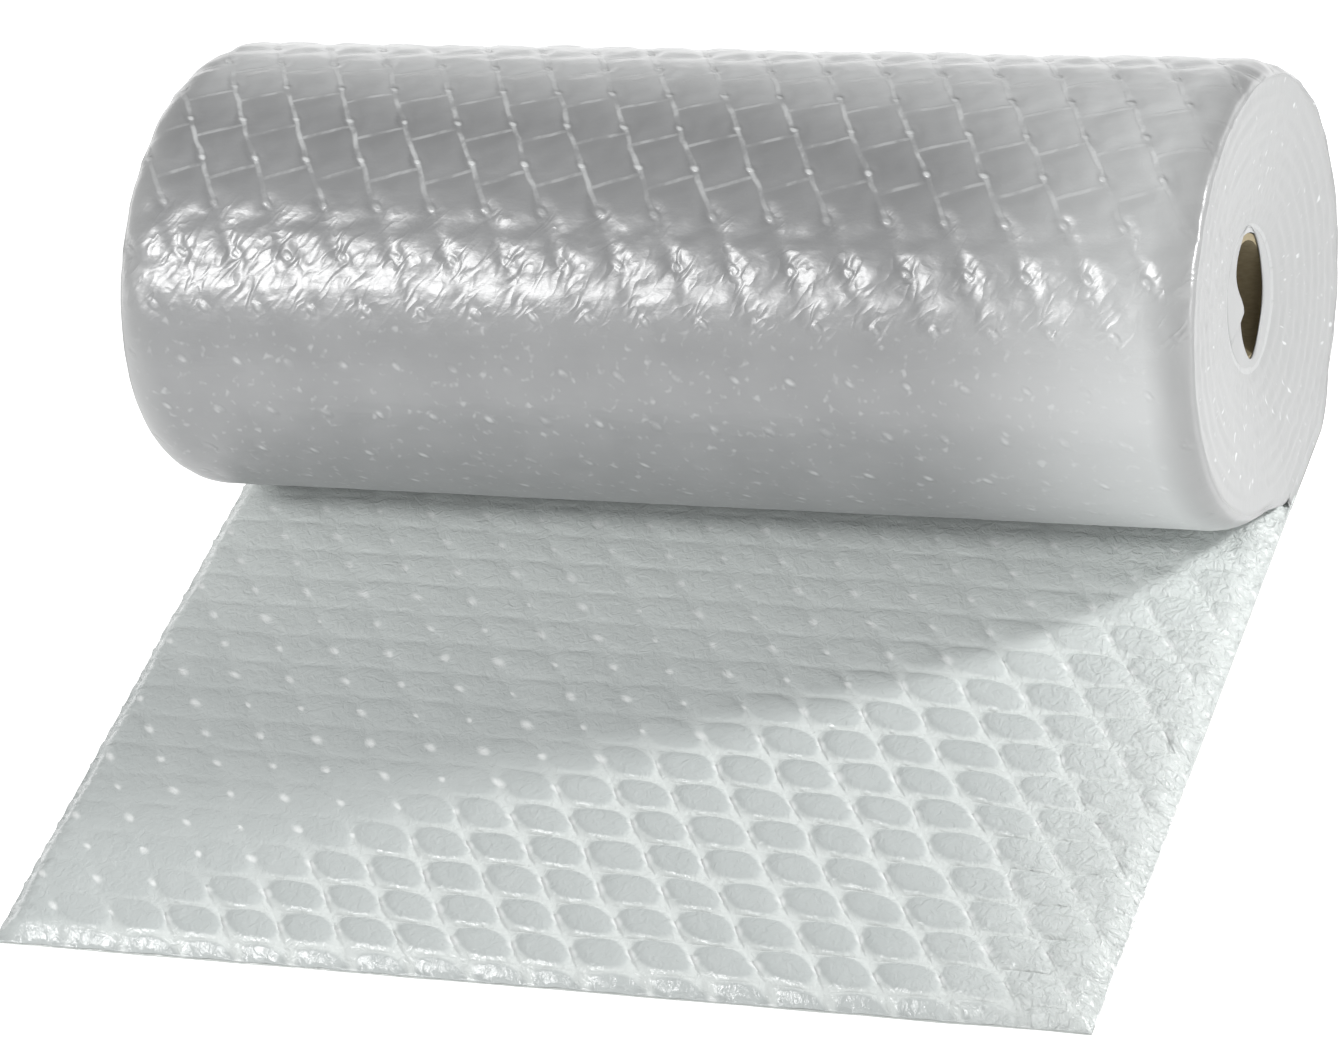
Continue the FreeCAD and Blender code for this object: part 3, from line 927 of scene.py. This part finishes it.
def core_mouth(name, side, outline, material):
    """Film that closes in over one end of the core, with a rolled edge round its opening."""
    opening = smooth_loop(outline, MOUTH_POINTS)
    # Share of the way in from the core's rim, and how far the film stands out past the core's end
    rings = ((0.0, 0.8), (0.12, 1.0), (0.4, 1.1), (0.75, 1.2), (0.94, 1.2), (1.0, 0.8), (0.98, 0.3))
    mesh = bmesh.new()
    web_place = mesh.verts.layers.float_vector.new("web_place")
    loops = []
    for share, proud in rings:
        loop = []
        for i, inner in enumerate(opening):
            turned = inner.normalized()
            place = (turned * MOUTH_RIM).lerp(inner, share)
            crease = 0.3 * math.sin(7 * FULL_TURN * i / MOUTH_POINTS) * math.sin(math.pi * share)
            x = side * (core_end + proud + crease)
            corner = mesh.verts.new(Vector((x, axis_y + place.x, axis_height + place.y)) * MM)
            corner[web_place] = (x, place.length, 1.0)
            loop.append(corner)
        loops.append(loop)
    for outer, inner in zip(loops, loops[1:]):
        for i in range(MOUTH_POINTS):
            j = (i + 1) % MOUTH_POINTS
            mesh.faces.new((outer[i], outer[j], inner[j], inner[i]))
    bmesh.ops.recalc_face_normals(mesh, faces=mesh.faces)
    for face in mesh.faces:
        face.smooth = True
    middle = mesh.faces[MOUTH_POINTS * 2]
    if middle.normal.x * side < 0:
        bmesh.ops.reverse_faces(mesh, faces=mesh.faces)
    data = bpy.data.meshes.new(name)
    mesh.to_mesh(data)
    mesh.free()
    data.materials.append(material)
    piece = bpy.data.objects.new(name, data)
    bpy.context.collection.objects.link(piece)
    give_thickness(piece, BUBBLE_FILM_THICKNESS)
    return piece


film_on_roll = wound_film_material()
formed_film = bubble_film_material()
flat_film = backing_material()
pieces = [
    wound_film(film_on_roll),
    bubble_layer(formed_film),
    flat_backing(flat_film),
    core_mouth("film_mouth_right", 1, RIGHT_OPENING, film_on_roll),
    core_mouth("film_mouth_left", -1, LEFT_OPENING, film_on_roll),
]
for piece in pieces:
    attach(piece, "root")
    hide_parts("bubble_web")

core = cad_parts["core_tube"]
core.data.materials.clear()
core.data.materials.append(kraft_material())


# Setting: floor, world, lamps and camera
FLOOR_GLOW = 0.8
WORLD_LIGHT = 0.36

# The photograph's camera: place in metres, yaw, pitch and roll in degrees, and lens in mm
CAMERA_PLACE = (1.0418, -1.7364, 1.7052)
CAMERA_ANGLES = (30.9, 39.25, -17.84)
CAMERA_LENS = 161.7


def make_floor():
    """A white floor that still takes the object's shadow."""
    bpy.ops.mesh.primitive_plane_add(size=30)
    floor = bpy.context.object
    floor.name = "floor"
    material, tree = new_material("white studio floor")
    path = add(tree, "ShaderNodeLightPath")
    seen = path.outputs["Is Camera Ray"]
    for ray in ("Is Glossy Ray", "Is Transmission Ray"):
        seen = add(tree, MATH, seen, path.outputs[ray], operation="MAXIMUM")
    matt = add(tree, "ShaderNodeBsdfDiffuse", linear("F0F0F0"))
    glowing = add(tree, MATH, seen, FLOOR_GLOW, operation="MULTIPLY")
    glow = add(tree, "ShaderNodeEmission", WHITE, glowing)
    add(tree, "ShaderNodeOutputMaterial", add(tree, "ShaderNodeAddShader", matt, glow))
    floor.data.materials.append(material)


def make_world():
    """Soft light from all round, and white where the camera looks past the floor."""
    world = bpy.data.worlds.new("studio")
    bpy.context.scene.world = world
    world.use_nodes = True
    tree = world.node_tree
    tree.nodes.clear()
    path = add(tree, "ShaderNodeLightPath")
    strength = add(tree, MIX, path.outputs["Is Camera Ray"], None, WORLD_LIGHT, 1.0)
    sky = add(tree, "ShaderNodeBackground", WHITE, strength)
    add(tree, "ShaderNodeOutputWorld", sky)


def add_lamp(name, place, target, size, power):
    """A square area lamp in metres and watts that faces its target."""
    lamp = bpy.data.lights.new(name, "AREA")
    lamp.size = size
    lamp.energy = power
    holder = bpy.data.objects.new(name, lamp)
    holder.location = place
    holder.rotation_euler = (Vector(target) - Vector(place)).to_track_quat("-Z", "Y").to_euler()
    holder.visible_camera = False
    bpy.context.collection.objects.link(holder)
    return lamp


def even_with_distance(lamp):
    """Makes a lamp light near and far places alike, as one further away would."""
    lamp.use_nodes = True
    tree = lamp.node_tree
    tree.nodes.clear()
    falloff = add(tree, "ShaderNodeLightFalloff", 1.0)
    glow = add(tree, "ShaderNodeEmission", WHITE, falloff.outputs["Constant"])
    add(tree, "ShaderNodeOutputLight", glow)


def make_camera():
    """The camera at the photograph's viewing angle."""
    camera = bpy.data.cameras.new("camera")
    camera.lens = CAMERA_LENS
    camera.sensor_width = 36.0
    holder = bpy.data.objects.new("camera", camera)
    yaw, pitch, roll = (math.radians(angle) for angle in CAMERA_ANGLES)
    turned = Matrix.Rotation(yaw, 4, "Z") @ Matrix.Rotation(math.pi / 2 - pitch, 4, "X")
    turned = turned @ Matrix.Rotation(roll, 4, "Z")
    holder.matrix_world = Matrix.Translation(CAMERA_PLACE) @ turned
    bpy.context.collection.objects.link(holder)
    bpy.context.scene.camera = holder


make_floor()
make_world()
key = add_lamp("key", (0.613, 0.163, 0.258), (0.1, 0.0, 0.05), 0.05, 7.8)
even_with_distance(key)
add_lamp("front softbox", (-0.85, -0.78, 1.18), (-0.1, 0.05, 0.12), 0.42, 10.5)
add_lamp("low front fill", (-0.1, -1.7, 0.35), (0.0, 0.0, 0.08), 1.2, 7.0)
add_lamp("right fill", (1.3, -0.7, 0.5), (0.2, 0.1, 0.1), 0.8, 2.6)
make_camera()
bpy.context.scene.view_settings.view_transform = "Standard"
